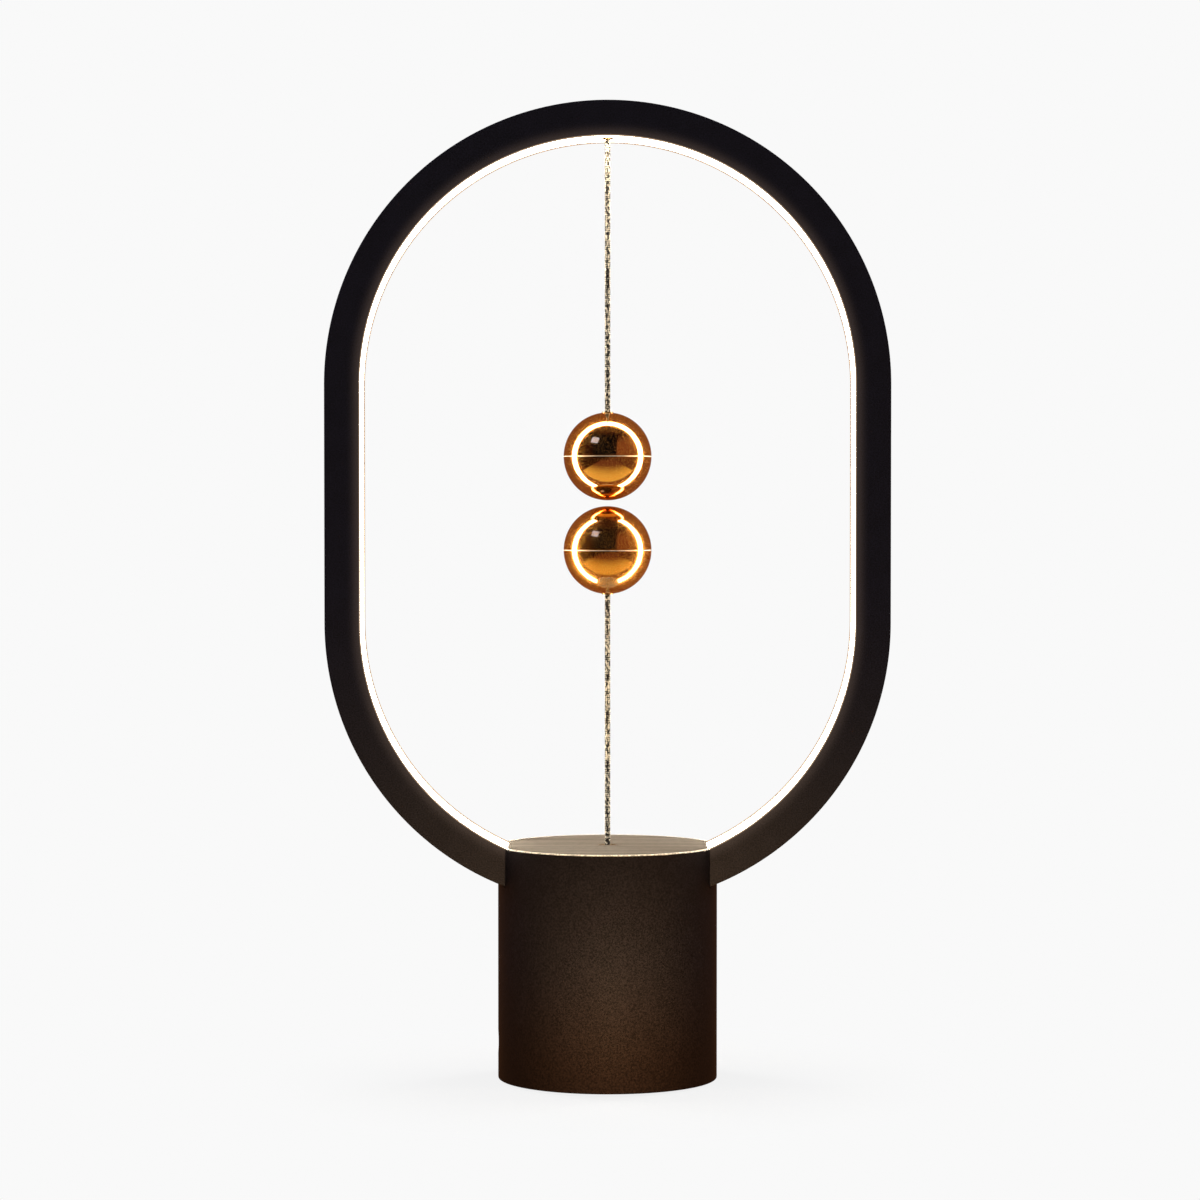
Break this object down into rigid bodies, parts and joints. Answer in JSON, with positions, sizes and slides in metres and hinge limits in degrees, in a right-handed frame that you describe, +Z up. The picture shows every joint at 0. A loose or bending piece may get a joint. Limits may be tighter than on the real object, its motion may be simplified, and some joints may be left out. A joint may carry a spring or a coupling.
{
  "type": "magnetic balance lamp",
  "caption": "Table lamp with an upright oval light frame on a round base; a hanging magnet ball and a tethered one meet in the middle and switch it on.",
  "frame": {"origin": "centre of the base where it stands on the table", "axes": "+Z up, -Y is the front, +X to the right seen from the front; the power inlet is on the -X side"},
  "size_m": [0.23, 0.09, 0.4],
  "materials": {
    "frame_plastic": "matte, very fine texture, near black",
    "base_plastic": "matte, fine grain, dark brown",
    "cover_plastic": "matte",
    "disc_plastic": "satin, fine drawn grain, taupe",
    "diffuser_plastic": "opal white, lit",
    "strip_film": "white film",
    "light_chip": "clear yellow gel",
    "white_nylon": "natural white, moulded",
    "slider_plastic": "moulded grey",
    "black_plastic": "moulded black",
    "plunger_plastic": "moulded red",
    "copper_plating": "mirror plated, copper gold",
    "pale_gold": "polished pale gold",
    "brass": "polished",
    "eyelet_metal": "dark burnished",
    "magnet_nickel": "nickel plated",
    "screw_steel": "zinc plated",
    "spring_steel": "drawn, bright",
    "inlet_shell": "nickel plated sheet",
    "ballast_iron": "rolled, oiled",
    "board_laminate": "green lacquer",
    "cord_braid": "tight braid, black and beige",
    "lead_sleeve": "soft sleeve",
    "foot_rubber": "matte silicone"
  },
  "bodies": {
    "root": {"frame_front_half": "frame_plastic", "frame_back_half": "frame_plastic", "frame_diffuser": "diffuser_plastic", "led_strip": "strip_film", "led_chips": "light_chip", "upper_cord_bush": "white_nylon", "cord_eyelet": "eyelet_metal", "top_disc": "disc_plastic", "base_shell": "base_plastic", "frame_saddle": "white_nylon", "frame_screws": "screw_steel", "saddle_screws": "screw_steel", "slider_guide": "white_nylon", "return_spring": "spring_steel", "switch_body": "black_plastic", "switch_screws": "screw_steel", "main_board": "board_laminate", "board_screws": "screw_steel", "power_inlet": "inlet_shell", "inlet_bezel": "black_plastic", "ballast_weight": "ballast_iron", "bottom_cover": "cover_plastic", "cover_screws": "screw_steel", "foot_ring": "foot_rubber", "led_lead": "lead_sleeve", "switch_lead": "lead_sleeve"},
    "upper_bead": {"upper_cord_bead": "brass"},
    "upper_ball": {"upper_cord": "cord_braid", "upper_ball_cord_shell": "copper_plating", "upper_ball_magnet_shell": "copper_plating", "upper_ball_joint_ring": "pale_gold", "upper_ball_ferrule": "brass", "upper_ball_magnet": "magnet_nickel"},
    "lower_bead": {"lower_cord_bead": "brass"},
    "lower_tether": {"lower_cord": "cord_braid"},
    "lower_ball": {"lower_ball_magnet_shell": "copper_plating", "lower_ball_cord_shell": "copper_plating", "lower_ball_joint_ring": "pale_gold", "lower_ball_ferrule": "brass", "lower_ball_magnet": "magnet_nickel"},
    "slider": {"pull_slider": "slider_plastic", "cord_tail": "cord_braid"},
    "lever": {"switch_lever": "spring_steel"},
    "plunger": {"switch_plunger": "plunger_plastic"}
  },
  "joints": [
    {"name": "upper_swing_fore", "type": "hinge", "parent": "root", "child": "upper_bead", "pos_m": [0, 0, 0.3879], "axis": [1, 0, 0], "range_deg": [-35, 35]},
    {"name": "upper_swing_side", "type": "hinge", "parent": "upper_bead", "child": "upper_ball", "pos_m": [0, 0, 0.3879], "axis": [0, 1, 0], "range_deg": [-30, 30]},
    {"name": "lower_tilt_fore", "type": "hinge", "parent": "root", "child": "lower_bead", "pos_m": [0, 0, 0.0943], "axis": [1, 0, 0], "range_deg": [-12, 12], "stiffness_Nm_per_rad": 0.15},
    {"name": "lower_tilt_side", "type": "hinge", "parent": "lower_bead", "child": "lower_tether", "pos_m": [0, 0, 0.0943], "axis": [0, 1, 0], "range_deg": [-12, 12], "stiffness_Nm_per_rad": 0.15},
    {"name": "lower_ball_lift", "type": "slide", "parent": "lower_tether", "child": "lower_ball", "axis": [0, 0, 1], "range_m": [-0.1017, 0], "deforming": ["lower_cord"]},
    {"name": "slider_pull", "type": "slide", "parent": "root", "child": "slider", "axis": [0, 0, 1], "range_m": [-0.00305, 0], "deforming": ["return_spring"]},
    {"name": "lever_press", "type": "hinge", "parent": "root", "child": "lever", "pos_m": [0.0202, 0, 0.05645], "axis": [0, 1, 0], "range_deg": [-13.9, 0]},
    {"name": "plunger_press", "type": "slide", "parent": "root", "child": "plunger", "axis": [0, 0, 1], "range_m": [-0.00095, 0]}
  ],
  "couplings": [
    {"joint": "slider_pull", "follows": "lower_ball_lift", "ratio": 0.0295},
    {"joint": "lever_press", "follows": "lower_ball_lift", "rad_per_m": 2.36},
    {"joint": "plunger_press", "follows": "lower_ball_lift", "ratio": 0.0088}
  ]
}
